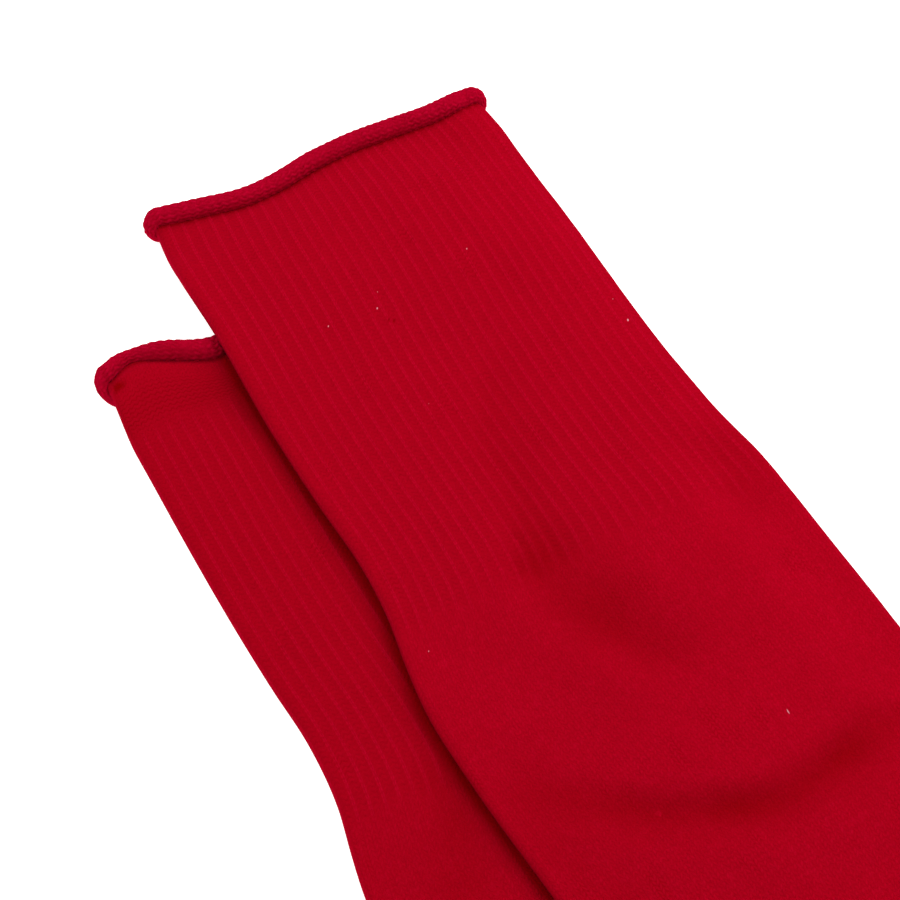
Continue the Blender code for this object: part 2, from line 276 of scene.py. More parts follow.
# The knit's relief
RIB_RELIEF = 0.00013
RIB_WIDTH = 0.14  # of the rib's pitch
RIB_FADE = 0.007
RIB_RAGGED = 0.0018  # how unevenly far the ribs reach
RIB_UNEVEN = 0.18
RIB_WAVE = 0.030
UNEVEN = 0.00012
SLOW_WAVE = 0.034
QUICK_WAVE = 0.009
QUICK_SHARE = 0.35
LOOP_RELIEF = 0.00024
LOOP_ROW = 0.00125
LOOP_WALES = 4 / 3  # from one loop of a row to the next
LOOP_WAVE = 0.26  # how far the rows zigzag, in rows
LOOP_TREMBLE = 0.16
LOOP_TREMBLE_WAVE = 2.3
LOOP_UNEVEN = 0.35
LOOP_UNEVEN_WAVE = 3.1
LOOP_MIDDLE = 0.55  # of a loop's height, which lies on the roll's own surface
LOOP_SCALLOP = 0.00004

# Where round the roll the loops begin and end, in radians, and how they fade out on its underside
LOOPS_FROM = 0.5
LOOPS_TO = 5.2
LOOPS_FADE = 0.6
UNDER_REACH = 0.75
UNDER_FADE = 0.9

# Painted shade, from 0 to 1, on the cloth where another one lies close on it or beside it
SEAM_SHADE = 0.85
SEAM_WIDTH = 0.0015
ROLL_SHADE = 0.5
ROLL_SHADE_FADE = 0.0015
LOWER_PAINTED_SHADE = 0.09  # painted shade: the lower sock is a little darker all over

# The plain band between the roll and the ribs looks weaker right beside the roll
BAND_START = 0.25
BAND_FROM = 0.005
BAND_RISE = 0.009

# How fine the meshes are, with the finest rows up to FINE_END along the sock
FINE_END = RIB_END + 0.004
TOP_COLUMNS = 6 * RIBS
EDGE_COLUMNS = 7
BOTTOM_COLUMNS = 42
RIB_ROWS = 200
PLAIN_ROWS = 152
TOE_ROWS = 20
INNER_ROWS = 26
INNER_TOE_ROWS = 7
LAST_TOE_TURN = 86
ROLL_TOP_COLUMNS = 14 * RIBS
ROLL_EDGE_COLUMNS = 48
ROLL_EDGE_WALES = 8  # round each end of the roll, which goes further round than the sock's edge
ROLL_BOTTOM_COLUMNS = 4 * RIBS
ROLL_ROWS = 72
CUT_STEPS = 400  # of the sum that measures the cloth

# The camera, from the photograph, in the solids' own coordinates before they stand on the origin
CAMERA_TARGET = Vector((0.0947, -0.00993, 0.005))
CAMERA_AZIMUTH = 61.7
CAMERA_ELEVATION = 55.0
CAMERA_DISTANCE = 0.6625
CAMERA_LENS = 106.0
CAMERA_SENSOR = 36.0
CAMERA_CLIP = 0.01


# ---------------------------------------------------------------- shapes


def smooth_step(value):
    """0 up to 0, 1 from 1 on, and a smooth rise between them."""
    part = np.clip(value, 0.0, 1.0)
    return part * part * (3 - 2 * part)


def wander(x, y, size, seed, waves=9):
    """A smooth uneven value of about -1 to 1: a sum of waves of about this size in seeded directions."""
    chance = np.random.default_rng(seed)
    total = 0.0
    for _ in range(waves):
        turn, phase = chance.uniform(0, 2 * math.pi, 2)
        length = size * chance.uniform(0.6, 1.7)
        total = total + np.sin(2 * math.pi * (x * math.cos(turn) + y * math.sin(turn)) / length + phase)
    return total / math.sqrt(waves)


def half_width(side, along):
    """The near or far half width at distances along the sock: a smooth curve through the sections."""
    places = np.array([row.along for row in SECTIONS])
    widths = np.array([getattr(row, side) for row in SECTIONS])
    slopes = np.gradient(widths, places)
    row = np.clip(np.searchsorted(places, along) - 1, 0, len(places) - 2)
    step = places[row + 1] - places[row]
    part = np.clip((along - places[row]) / step, 0.0, 1.0)
    blend = smooth_step(part)
    bend = part * (1 - part) * step * ((1 - part) * slopes[row] - part * slopes[row + 1])
    return widths[row] * (1 - blend) + widths[row + 1] * blend + bend


def toe_share(along, toe_length):
    """How much of its width the rounded toe keeps, from 1 where it starts to 0 at its tip."""
    part = np.maximum(along - TOE_START, 0.0) / toe_length
    return np.sqrt(np.maximum(1 - part * part, 0.0))


def toe_thickness(along, toe_length):
    """How much of its thickness the toe keeps, over the last round of its tip."""
    part = np.maximum(along - (TOE_START + toe_length - EDGE_RADIUS), 0.0) / EDGE_RADIUS
    return np.sqrt(np.maximum(1 - part * part, 0.0))


def flat_half(side, along, toe_length):
    """The half width of a ring's flat part. The inner side has the shorter toe."""
    width = half_width(side, along)
    share = toe_share(along, toe_length)
    if toe_length < TOE_LENGTH:
        return np.maximum((width - EDGE_RADIUS) * share, LEAST_HALF)
    return np.maximum(width * share - EDGE_RADIUS, LEAST_HALF)


def on_plan(sock, along, across):
    """x and y of points beside the sock's middle line: a straight leg, a bend at the heel, a foot."""
    turn = np.clip(along - LEG_STRAIGHT, 0.0, BEND_LENGTH) / BEND_RADIUS
    foot = np.maximum(along - LEG_STRAIGHT - BEND_LENGTH, 0.0)
    radius = BEND_RADIUS + across
    x = np.minimum(along, LEG_STRAIGHT) + radius * np.sin(turn) + foot * np.cos(turn)
    y = radius * np.cos(turn) - BEND_RADIUS - foot * np.sin(turn)
    return sock.edge_x + x, sock.middle_y + y


def outline(sock, step=0.006):
    """The sock's flat outline, from its rolled edge down one side, round the toe and back."""
    places = np.arange(0.0, SOCK_LENGTH, step)
    sides = []
    for side, sign in (("near", -1), ("far", 1)):
        widths = sign * half_width(side, places) * toe_share(places, TOE_LENGTH)
        line = np.stack(on_plan(sock, places, widths), axis=1)
        front = np.array(on_plan(sock, -2 * ROLL_RADIUS, widths[0]))
        sides.append(np.vstack([front, line]))
    tip = np.array(on_plan(sock, SOCK_LENGTH, 0.0))
    return np.vstack([sides[0], tip, sides[1][::-1]])


def beside_line(x, y, corners):
    """Each point's distance from an open line of corners, its place along it, from 0 to 1, and on which
    side of it the point lies, 1 on the left and -1 on the right."""
    corners = np.asarray(corners)
    lengths = np.linalg.norm(np.diff(corners, axis=0), axis=1)
    passed = np.concatenate([[0.0], np.cumsum(lengths)])
    nearest = np.full(np.shape(x), np.inf)
    place = np.zeros(np.shape(x))
    side = np.zeros(np.shape(x))
    for start, end, before, length in zip(corners, corners[1:], passed, lengths):
        run = (end - start) / length
        share = np.clip((x - start[0]) * run[0] + (y - start[1]) * run[1], 0.0, length)
        distance = np.hypot(x - start[0] - share * run[0], y - start[1] - share * run[1])
        left = np.sign((y - start[1]) * run[0] - (x - start[0]) * run[1])
        place = np.where(distance < nearest, (before + share) / passed[-1], place)
        side = np.where(distance < nearest, left, side)
        nearest = np.minimum(nearest, distance)
    return nearest, place, side


def inside(x, y, corners):
    """Which points lie inside a closed outline."""
    odd = np.zeros(np.shape(x), bool)
    for start, end in zip(corners, np.roll(corners, -1, axis=0)):
        if start[1] == end[1]:
            continue
        spans = (start[1] > y) != (end[1] > y)
        crossing = start[0] + (y - start[1]) / (end[1] - start[1]) * (end[0] - start[0])
        odd ^= spans & (crossing > x)
    return odd


LOWER_OUTLINE = outline(LOWER)
UPPER_OUTLINE = outline(UPPER)


def height_over_lower(x, y):
    """The upper sock's underside: level on the lower sock, over its roll, down to the ground beside it."""
    distance, _, _ = beside_line(x, y, np.vstack([LOWER_OUTLINE, LOWER_OUTLINE[:1]]))
    outside = np.where(inside(x, y, LOWER_OUTLINE), 0.0, distance)
    hold = 1 - smooth_step((outside - DRAPE_HOLD) / DRAPE_REACH)
    covered = smooth_step((y - LOWER.middle_y - LOWER.covered_from) / COVERED_FADE)
    bump = ROLL_BUMP_HIGH + (ROLL_BUMP_LOW - ROLL_BUMP_HIGH) * covered
    rise = bump * (1 - smooth_step((np.abs(x - ROLL_BUMP_MIDDLE) - ROLL_BUMP_HOLD) / ROLL_BUMP_REACH))
    return hold * (LOWER_HEIGHT + CLEARANCE + rise)


def underside(sock, x, y):
    """How high the sock's underside lies."""
    return height_over_lower(x, y) if sock is UPPER else np.zeros(np.shape(x))


def fold_strengths(sock, along, across):
    """Each fold of a sock with its strength, from 0 beside it to about 1 along its way."""
    for number, fold in enumerate(sock.folds):
        distance, place, side = beside_line(along, across, fold.points)
        wave = FOLD_WAVES * place + FOLD_STEP * number + FOLD_STEP
        uneven = 1 + FOLD_UNEVEN * np.sin(2 * math.pi * wave)
        width = np.where(side > 0, fold.left, fold.right)
        width = width * (1 + WIDTH_UNEVEN * np.sin(2 * math.pi * (place + WIDTH_STEP * number)))
        yield fold, uneven * np.exp(-((distance / width) ** 2))


def stand_off(sock, along, across, part):
    """How far the top layer stands off the bottom one. part is -1 and 1 at the sides, where they meet."""
    total = sum(fold.height * strength for fold, strength in fold_strengths(sock, along, across))
    return np.maximum(total, -DEEPEST) * np.sqrt(np.maximum(1 - part * part, 0.0))


def bow_heights(bows, place):
    """How high a line's bows are together at a place on it."""
    return sum(bow.height * np.exp(-(((place - bow.place) / bow.width) ** 2)) for bow in bows)


def across_at(sock, along, ring, toe_length=TOE_LENGTH):
    """How far from a sock's middle line its rings' points lie, before they turn round an edge."""
    near = flat_half("near", along, toe_length) + bow_heights(sock.swells["near"], along)
    far = flat_half("far", along, toe_length) + bow_heights(sock.swells["far"], along)
    lean = sock.lean * np.interp(along, (0.0, RIB_END, LEG_STRAIGHT), (1.0, -1.0, 0.0))
    return (far - near + ring.part * (near + far)) / 2 + lean * (1 - ring.part * ring.part)


def on_top(ring):
    """Which of a ring's points lie on the flat upper face."""
    return np.sin(ring.angle) > 0.999


def fold_shade(sock, along, ring):
    """The painted shade that the folds put on the upper face, from 0 to 1."""
    across = across_at(sock, along, ring)
    total = sum(fold.shade * strength for fold, strength in fold_strengths(sock, along, across))
    return total * on_top(ring)


def seam_shade(sock, points, ring):
    """Painted shade in the narrow gap where the upper sock's edge lies on the lower one, with the lower
    sock's painted shade all over.
    """
    x, y = points[..., 0], points[..., 1]
    if sock is LOWER:
        distance, _, _ = beside_line(x, y, UPPER_OUTLINE)
        return SEAM_SHADE * np.exp(-((distance / SEAM_WIDTH) ** 2)) + LOWER_PAINTED_SHADE
    # Painted shade on the turned-down side of the upper sock's edge, where it lies over the lower sock
    turned_down = 1 - smooth_step((np.sin(ring.angle) + 0.3) / 0.9)
    return SEAM_SHADE * turned_down * inside(x, y, LOWER_OUTLINE)


def roll_shade(sock, along, ring):
    """Painted shade on the upper face right beside the roll."""
    beside = 1 - smooth_step((along - sock.radius) / ROLL_SHADE_FADE)
    return ROLL_SHADE * beside * on_top(ring)


def specks_of_kind(sock, kind, along, ring):
    """The strength of a sock's specks of a kind at the points nearest to them, and 0 elsewhere."""
    across = across_at(sock, along, ring)
    hidden = ~on_top(ring)
    level = np.zeros(across.shape)
    for speck in sock.specks:
        if speck.kind == kind:
            distance = (along - speck.along) ** 2 + (across - speck.across) ** 2 + hidden
            level[np.unravel_index(distance.argmin(), level.shape)] = speck.strength
    return level


def roll_radius(sock, across, under):
    """The roll's radius. under is 0 on the top layer and 1 on the bottom one."""
    covered = smooth_step((across - sock.covered_from) / COVERED_FADE)
    top = sock.radius + (COVERED_ROLL_RADIUS - sock.radius) * covered
    top = top - CORNER_TAPER * smooth_step((np.abs(across) - CORNER_FROM) / CORNER_WIDTH)
    top = top - bow_heights(sock.necks, across)
    return top + (UNDER_ROLL_RADIUS - top) * under


def edge_curve(sock, across):
    """How far the rolled edge curves towards the foot."""
    corner = 1 + (-across - SECTIONS[0].near) / CORNER_WIDTH
    return bow_heights(sock.bows, across) + sock.corner * np.maximum(corner, 0.0) ** 2


# A ring's points in order: the top layer, the far edge, the bottom layer, the near edge. part runs
# across from -1 to 1, side and angle give the way round an edge, and wale counts the stitches.
Ring = namedtuple("Ring", "part side angle wale all_wales")


def make_ring(top, edge, bottom, edge_wales=EDGE_WALES):
    """A ring with so many points on the top layer, round each edge and on the bottom layer."""
    face_wales = RIBS * WALES_A_RIB
    rows = []
    for count, start, end, side, first_angle, last_angle, wales in (
        (top, -1, 1, 1, 90, 90, face_wales),
        (edge, 1, 1, 1, 90, -90, edge_wales),
        (bottom, 1, -1, -1, -90, -90, face_wales),
        (edge, -1, -1, -1, -90, 90, edge_wales),
    ):
        share = np.arange(count) / count
        wale = (rows[-1][3][-1] + rows[-1][4] if rows else 0.0) + share * wales
        part = start + (end - start) * share
        angle = np.radians(first_angle + (last_angle - first_angle) * share)
        rows.append((part, np.full(count, side), angle, wale, wales / count))
    columns = [np.concatenate([row[index] for row in rows]) for index in range(4)]
    return Ring(*columns, 2 * (face_wales + edge_wales))


def place_points(sock, along, ring, profile, relief, toe_length=TOE_LENGTH):
    """Points in space, a row for each place along the sock. profile gives the steps forward and outward."""
    across = across_at(sock, along, ring, toe_length)
    out_up = np.sin(ring.angle)
    under = (1 - out_up) / 2
    forward, outward = profile(across, under)
    fade = 1 - smooth_step((along - ROLL_RADIUS) / EDGE_FADE)
    curve = edge_curve(sock, across) * fade
    past_edge = along + sock.set_back * under * fade
    lift = CUFF_LIFT * (1 - smooth_step((past_edge - sock.set_back - ROLL_RADIUS) / CUFF_LIFT_REACH))
    sag = 1 - smooth_step(past_edge / (sock.set_back - UNDER_ROLL_RADIUS))
    lift = lift - sock.sag * (1 - under) * sag
    raised = stand_off(sock, along, across, ring.part) * on_top(ring)
    reach = SLOT / 2 + outward + relief
    across = across + ring.side * np.cos(ring.angle) * reach
    x, y = on_plan(sock, past_edge + curve + forward, across)
    thick = toe_thickness(along, toe_length)
    z = underside(sock, x, y) + EDGE_RADIUS + (lift + raised + reach * out_up) * thick
    return np.stack(np.broadcast_arrays(x, y, z), axis=-1)


def outer_side(across, under):
    """The profile of the cloth's outer side."""
    return 0.0, WALL


def inner_side(across, under):
    """The profile of its inner side."""
    return 0.0, 0.0


# ---------------------------------------------------------------- the knit's relief


def rib_strength(sock, along, ring):
    """1 in the ribbed top, and 0 below it, under the roll and on the side that rests on the ground."""
    rib = np.floor(ring.wale / WALES_A_RIB)
    ragged = RIB_RAGGED * np.sin(rib * 2.4 + sock.seed) * np.sin(rib * 0.9)
    start = smooth_step((along - sock.rib_start - ragged) / RIB_FADE)
    end = 1 - smooth_step((along - RIB_END + RIB_FADE - ragged) / RIB_FADE)
    return start * end * np.sqrt(np.maximum(np.sin(ring.angle), 0.0))


def rib_relief(sock, along, ring):
    """Narrow ridges of uneven strength, one to a rib."""
    place = ring.wale / WALES_A_RIB % 1 - 0.5
    ridge = np.exp(-((place / RIB_WIDTH) ** 2))
    uneven = 1 + RIB_UNEVEN * wander(along, ring.wale * WALE_WIDTH, RIB_WAVE, sock.seed)
    return RIB_RELIEF * ridge * uneven * rib_strength(sock, along, ring)


def band_strength(sock, along, ring):
    """1 on the plain band before the ribs, and 0 on the ribs and the side on the ground."""
    end = 1 - smooth_step((along - sock.rib_start) / RIB_FADE)
    start = BAND_START + (1 - BAND_START) * smooth_step((along - BAND_FROM) / BAND_RISE)
    return start * end * np.sqrt(np.maximum(np.sin(ring.angle), 0.0))


def small_unevenness(sock, along, ring):
    """The cloth never lies quite flat. The side on the ground does."""
    slow = wander(along, ring.wale * WALE_WIDTH, SLOW_WAVE, sock.seed + 1)
    quick = wander(along, ring.wale * WALE_WIDTH, QUICK_WAVE, sock.seed + 2)
    return UNEVEN * (slow + QUICK_SHARE * quick) * np.maximum(np.sin(ring.angle), 0.0)


def loop_relief(sock, turn, ring):
    """The roll's wavy rows of loops. turn is how far round the roll a row is, in radians."""
    loop_number = ring.wale / LOOP_WALES
    tremble = LOOP_TREMBLE * wander(loop_number, turn, LOOP_TREMBLE_WAVE, sock.seed + 3)
    zigzag = 2 * np.abs((loop_number + 0.5 * tremble) % 1 - 0.5) - 0.5
    row = turn * ROLL_RADIUS / LOOP_ROW + LOOP_WAVE * 2 * zigzag + tremble
    loop = np.abs(np.cos(math.pi * row)) ** 0.8
    stagger = 0.25 + 0.5 * (np.floor(row + 0.5) % 2)
    pinch = 0.40 + 0.60 * np.abs(np.cos(math.pi * (loop_number + stagger)))
    uneven = 1 + LOOP_UNEVEN * wander(loop_number, turn, LOOP_UNEVEN_WAVE, sock.seed + 4)
    scallop = LOOP_SCALLOP * np.cos(2 * math.pi * loop_number)
    return (LOOP_RELIEF * (loop * pinch - LOOP_MIDDLE) + scallop) * uneven


# ---------------------------------------------------------------- meshes


def add_mesh(name, points, courses, ring, closed_rows):
    """A mesh over rows of rings. Its map counts wales across and courses along. Rows may close too."""
    rows, columns = points.shape[:2]
    last_row = rows if closed_rows else rows - 1
    row, column = np.meshgrid(np.arange(last_row), np.arange(columns), indexing="ij")
    next_row = (row + 1) % rows
    next_column = (column + 1) % columns
    corners = ((row, column), (row, next_column), (next_row, next_column), (next_row, column))
    faces = np.stack([r * columns + c for r, c in corners], axis=-1).reshape(-1, 4)
    wales = np.append(ring.wale, ring.all_wales)
    u = np.stack([wales[column], wales[column + 1], wales[column + 1], wales[column]], axis=-1)
    v = np.stack([courses[row], courses[row], courses[row + 1], courses[row + 1]], axis=-1)
    data = bpy.data.meshes.new(name)
    last_ring = range((rows - 1) * columns, rows * columns)
    caps = [] if closed_rows else [list(range(columns)), list(last_ring)[::-1]]
    data.from_pydata(points.reshape(-1, 3).tolist(), [], faces[:, ::-1].tolist() + caps)
    uv = data.uv_layers.new(name="Knit")
    mapped = np.stack([u, v], axis=-1).reshape(-1, 4, 2)[:, ::-1].reshape(-1, 2)
    filler = np.zeros((len(caps) * columns, 2))
    uv.data.foreach_set("uv", np.vstack([mapped, filler]).ravel())
    data.shade_smooth()
    made = bpy.data.objects.new(name, data)
    bpy.context.scene.collection.objects.link(made)
    return made


def add_levels(made, name, values):
    """A value from 0 to 1 for each point, which the material reads."""
    layer = made.data.attributes.new(name, "FLOAT", "POINT")
    layer.data.foreach_set("value", np.clip(values, 0, 1).ravel().astype(np.float32))


def outer_stations():
    """Where along the sock its outer side's rings lie."""
    toe = np.radians(np.linspace(0, LAST_TOE_TURN, TOE_ROWS + 1))
    return np.concatenate(
        [
            np.linspace(0.0, FINE_END, RIB_ROWS),
            np.linspace(FINE_END, TOE_START, PLAIN_ROWS + 1)[1:],
            (TOE_START + TOE_LENGTH * np.sin(toe))[1:],
        ]
    )


def inner_stations():
    """Where along the sock its inner side's rings lie."""
    toe = np.radians(np.linspace(0, LAST_TOE_TURN, INNER_TOE_ROWS + 1))
    return np.concatenate(
        [np.linspace(0.0, TOE_START, INNER_ROWS), (TOE_START + INNER_TOE_LENGTH * np.sin(toe))[1:]]
    )


def course_number(along):
    """How many rows of stitches lie between the roll and a place along the sock."""
    return np.minimum(along, RIB_END) / RIB_COURSE + np.maximum(along - RIB_END, 0.0) / PLAIN_COURSE


def knit_body(sock, shift):
    """The sock below its roll, as one closed wall: its inner side from the toe, then its outer side."""
    ring = make_ring(TOP_COLUMNS, EDGE_COLUMNS, BOTTOM_COLUMNS)
    outer = outer_stations()[:, None]
    inner = inner_stations()[::-1, None]
    relief = rib_relief(sock, outer, ring) + small_unevenness(sock, outer, ring)
    inside_points = place_points(sock, inner, ring, inner_side, 0.0, INNER_TOE_LENGTH)
    outside_points = place_points(sock, outer, ring, outer_side, relief)
    points = np.concatenate([inside_points, outside_points]) + shift
    courses = course_number(np.concatenate([inner, outer])[:, 0])
    # The shade level is painted shade from the folds, beside the roll and between the socks; the snags added
    # to it below are real dark marks
    shade = fold_shade(sock, outer, ring) + roll_shade(sock, outer, ring)
    shade = shade + seam_shade(sock, outside_points, ring)
    made = add_mesh(sock.name + "Knit", points, courses, ring, False)
    for name, values in (
        ("ribs", rib_strength(sock, outer, ring)),
        ("band", band_strength(sock, outer, ring)),
        ("shade", shade + specks_of_kind(sock, "snag", outer, ring)),
        ("lint", specks_of_kind(sock, "lint", outer, ring)),
    ):
        add_levels(made, name, np.concatenate([np.zeros(inside_points.shape[:2]), values]))
    return made


def knit_roll(sock, shift):
    """The rolled edge: a closed tube all round the sock's opening, of wavy rows of loops."""
    ring = make_ring(ROLL_TOP_COLUMNS, ROLL_EDGE_COLUMNS, ROLL_BOTTOM_COLUMNS, ROLL_EDGE_WALES)
    turns = np.linspace(0, 2 * math.pi, ROLL_ROWS, endpoint=False)[:, None]
    started = smooth_step((turns - LOOPS_FROM) / LOOPS_FADE)
    shown = started * (1 - smooth_step((turns - LOOPS_TO) / LOOPS_FADE))
    out_up = np.maximum(np.sin(ring.angle) + UNDER_REACH, 0.0) / UNDER_FADE
    relief = loop_relief(sock, turns, ring) * shown * np.minimum(out_up, 1.0)

    def profile(across, under):
        radius = roll_radius(sock, across, under)
        angle = -math.pi / 2 - turns
        return (radius + relief) * np.cos(angle), radius + (radius + relief) * np.sin(angle)

    points = place_points(sock, np.zeros((1, 1)), ring, profile, 0.0) + shift
    points[..., 2] = np.maximum(points[..., 2], 0.0)
    courses = -np.append(turns[:, 0], 2 * math.pi) * ROLL_RADIUS / RIB_COURSE
    made = add_mesh(sock.name + "Roll", points, courses, ring, True)
    add_levels(made, "loops", 0.5 + relief / (2 * LOOP_RELIEF))
    return made


# ---------------------------------------------------------------- materials

RED = (0.462, 0.0011, 0.0150, 1.0)
DEEP_RED = (0.335, 0.0007, 0.0078, 1.0)
# The next red darkens the cloth for painted shade in folds, beside the roll and between the socks, and also
# for the dark gaps between stitches and loops and for the snags
SHADE_AND_GAP_RED = (0.22, 0.0003, 0.0010, 1.0)
PALE_RED = (0.51, 0.0018, 0.0235, 1.0)
ROLL_RED = (0.480, 0.0014, 0.0260, 1.0)
DEEP_ROLL_RED = (0.33, 0.0008, 0.0120, 1.0)
LINT = (0.70, 0.26, 0.32, 1.0)
KNIT_SURFACE = {
    "Roughness": 0.92,
    "Specular IOR Level": 0.0,
    "Sheen Weight": 0.12,
    "Sheen Roughness": 0.36,
    "Sheen Tint": (1.0, 0.02, 0.34, 1.0),
}
YARN_BUMP = 0.00018
FIBRE_BUMP = 0.00005
RIDGE_EDGE = 0.07  # in rib pitches from the middle of a ridge, and the groove is full at twice that
STITCH_SLANT = 0.8  # how many courses a stitch's legs rise
LEG_DIFFERENCE = 0.16
PURL_STEP = 0.9  # how many courses the purl bumps are off the stitches
DRIFT = 0.30  # how far the stitches drift across, in wales
DRIFT_ALONG = 1.3  # times as far along, in courses

# Noises in the cloth itself, from large to fine, and over its map of wales and courses
Noise = namedtuple("Noise", "scale detail roughness")
PATCHES = Noise(62.0, 3.0, 0.5)
MOTTLE = Noise(520.0, 3.0, 0.6)
GRAIN = Noise(760.0, 2.0, 0.6)
FUZZ = Noise(2600.0, 4.0, 0.65)
STITCH_DRIFT = Noise(0.5, 2.0, 0.5)
STRETCHED = Noise(0.22, 1.0, 0.5)

# What the two kinds of knit share: the map's wales and courses, the same with a little drift, the height
# of purl bumps, and the noises
Yarn = namedtuple("Yarn", "wales courses across along purl patches mottle grain fuzz")


def new_node(tree, kind, inputs=(), **settings):
    """A node with its settings, and with its inputs linked to other nodes or set."""
    made = tree.nodes.new(kind)
    for name, value in settings.items():
        setattr(made, name, value)
    for name, value in inputs:
        if isinstance(value, bpy.types.NodeSocket):
            tree.links.new(value, made.inputs[name])
        else:
            made.inputs[name].default_value = value
    return made


def compute(tree, operation, first, second=0.0):
    """The result of a sum or of another operation on one or two values."""
    made = new_node(tree, "ShaderNodeMath", ((0, first), (1, second)), operation=operation)
    return made.outputs[0]


def plus(tree, first, second):
    return compute(tree, "ADD", first, second)


def times(tree, first, second):
    return compute(tree, "MULTIPLY", first, second)


def blend_values(tree, share, first, second):
    """The first value, with a share of the second."""
    inputs = ((0, share), (2, first), (3, second))
    return new_node(tree, "ShaderNodeMix", inputs, data_type="FLOAT").outputs[0]


def blend_colours(tree, share, first, second):
    """The first colour, with a share of the second."""
    inputs = ((0, share), (6, first), (7, second))
    return new_node(tree, "ShaderNodeMix", inputs, data_type="RGBA").outputs[2]


def ramp(tree, value, start, end, low=0.0, high=1.0):
    """A value that goes smoothly from low, where the input is at start, to high, where it is at end."""
    inputs = (("Value", value), ("From Min", start), ("From Max", end), ("To Min", low), ("To Max", high))
    return new_node(tree, "ShaderNodeMapRange", inputs, interpolation_type="SMOOTHSTEP").outputs[0]


def noise(tree, place, kind):
    """One of the kinds of noise, at a place in the cloth or on its map."""
    inputs = (
        ("Vector", place),
        ("Scale", kind.scale),
        ("Detail", kind.detail),
        ("Roughness", kind.roughness),
    )
    return new_node(tree, "ShaderNodeTexNoise", inputs).outputs[0]


def attribute(tree, name):
    """One of the values that add_levels gives to a mesh's points."""
    return new_node(tree, "ShaderNodeAttribute", attribute_name=name).outputs["Fac"]


def stitch_height(tree, across, along):
    """Yarn legs that slant away from the middle of each wale, from 0 in the gaps to 1. The legs on one
    side of a wale stand a little higher than those on the other."""
    from_middle = compute(tree, "SUBTRACT", compute(tree, "FRACT", across), 0.5)
    leg_place = times(tree, compute(tree, "ABSOLUTE", from_middle), 2.0)
    slanted = plus(tree, along, times(tree, leg_place, STITCH_SLANT))
    lengthwise = compute(tree, "SINE", times(tree, compute(tree, "FRACT", slanted), math.pi))
    sideways = compute(tree, "SINE", times(tree, leg_place, math.pi))
    rounded = compute(tree, "POWER", compute(tree, "MAXIMUM", sideways, 0.001), 0.6)
    side = compute(tree, "SIGN", from_middle)
    leaning = plus(tree, times(tree, side, LEG_DIFFERENCE), 1 - LEG_DIFFERENCE)
    uneven = plus(tree, times(tree, lengthwise, 0.9), 0.1)
    return times(tree, times(tree, uneven, leaning), rounded)


def purl_height(tree, across, along):
    """Wavy rows of small bumps, as the back of a knit shows, from 0.15 in the gaps to 0.75."""
    wave = compute(tree, "SINE", times(tree, across, 2 * math.pi))
    row = plus(tree, along, times(tree, wave, 0.2))
    bump = compute(tree, "SINE", times(tree, compute(tree, "FRACT", row), math.pi))
    return plus(tree, times(tree, bump, 0.6), 0.15)


def add_yarn(tree):
    """The places and heights that both kinds of knit are made from."""
    place = new_node(tree, "ShaderNodeTexCoord").outputs["Object"]
    mapped = new_node(tree, "ShaderNodeUVMap", uv_map="Knit").outputs[0]
    wales, courses, _ = new_node(tree, "ShaderNodeSeparateXYZ", (("Vector", mapped),)).outputs
    drift = times(tree, compute(tree, "SUBTRACT", noise(tree, mapped, STITCH_DRIFT), 0.5), DRIFT)
    across = plus(tree, plus(tree, wales, drift), 0.5)
    along = plus(tree, courses, times(tree, drift, DRIFT_ALONG))
    return Yarn(
        wales=wales,
        courses=courses,
        across=across,
        along=along,
        purl=purl_height(tree, across, plus(tree, along, PURL_STEP)),
        patches=noise(tree, place, PATCHES),
        mottle=noise(tree, place, MOTTLE),
        grain=noise(tree, place, GRAIN),
        fuzz=noise(tree, place, FUZZ),
    )


def worn(tree, yarn, base, deep_red):
    """The colour with paler flecks, deeper grain and deeper patches, as all of the cloth has."""
    base = blend_colours(tree, ramp(tree, yarn.mottle, 0.45, 0.75, 0.0, 0.30), base, PALE_RED)
    base = blend_colours(tree, ramp(tree, yarn.grain, 0.35, 0.65, 0.0, 0.55), base, deep_red)
    return blend_colours(tree, ramp(tree, yarn.patches, 0.3, 0.7, 0.0, 0.30), base, deep_red)


def rolled_knit(tree, yarn):
    """The height and the colour of the roll's loops, which are darkest in the gaps between them."""
    level = attribute(tree, "loops")
    stitches = blend_values(tree, 0.35, level, yarn.purl)
    base = blend_colours(tree, ramp(tree, stitches, 0.2, 0.8), DEEP_ROLL_RED, ROLL_RED)
    between_loops = ramp(tree, level, 0.36, 0.22, 0.0, 0.6)
    base = blend_colours(tree, between_loops, base, SHADE_AND_GAP_RED)
    return stitches, worn(tree, yarn, base, DEEP_ROLL_RED)


def stretched(tree, yarn):
    """How far the cloth is stretched, in long uneven places. The gaps between its stitches look dark."""
    courses = times(tree, yarn.courses, 0.4)
    places = new_node(tree, "ShaderNodeCombineXYZ", (("X", yarn.wales), ("Y", courses))).outputs[0]
    return ramp(tree, noise(tree, places, STRETCHED), 0.60, 0.74, 0.0, 0.45)


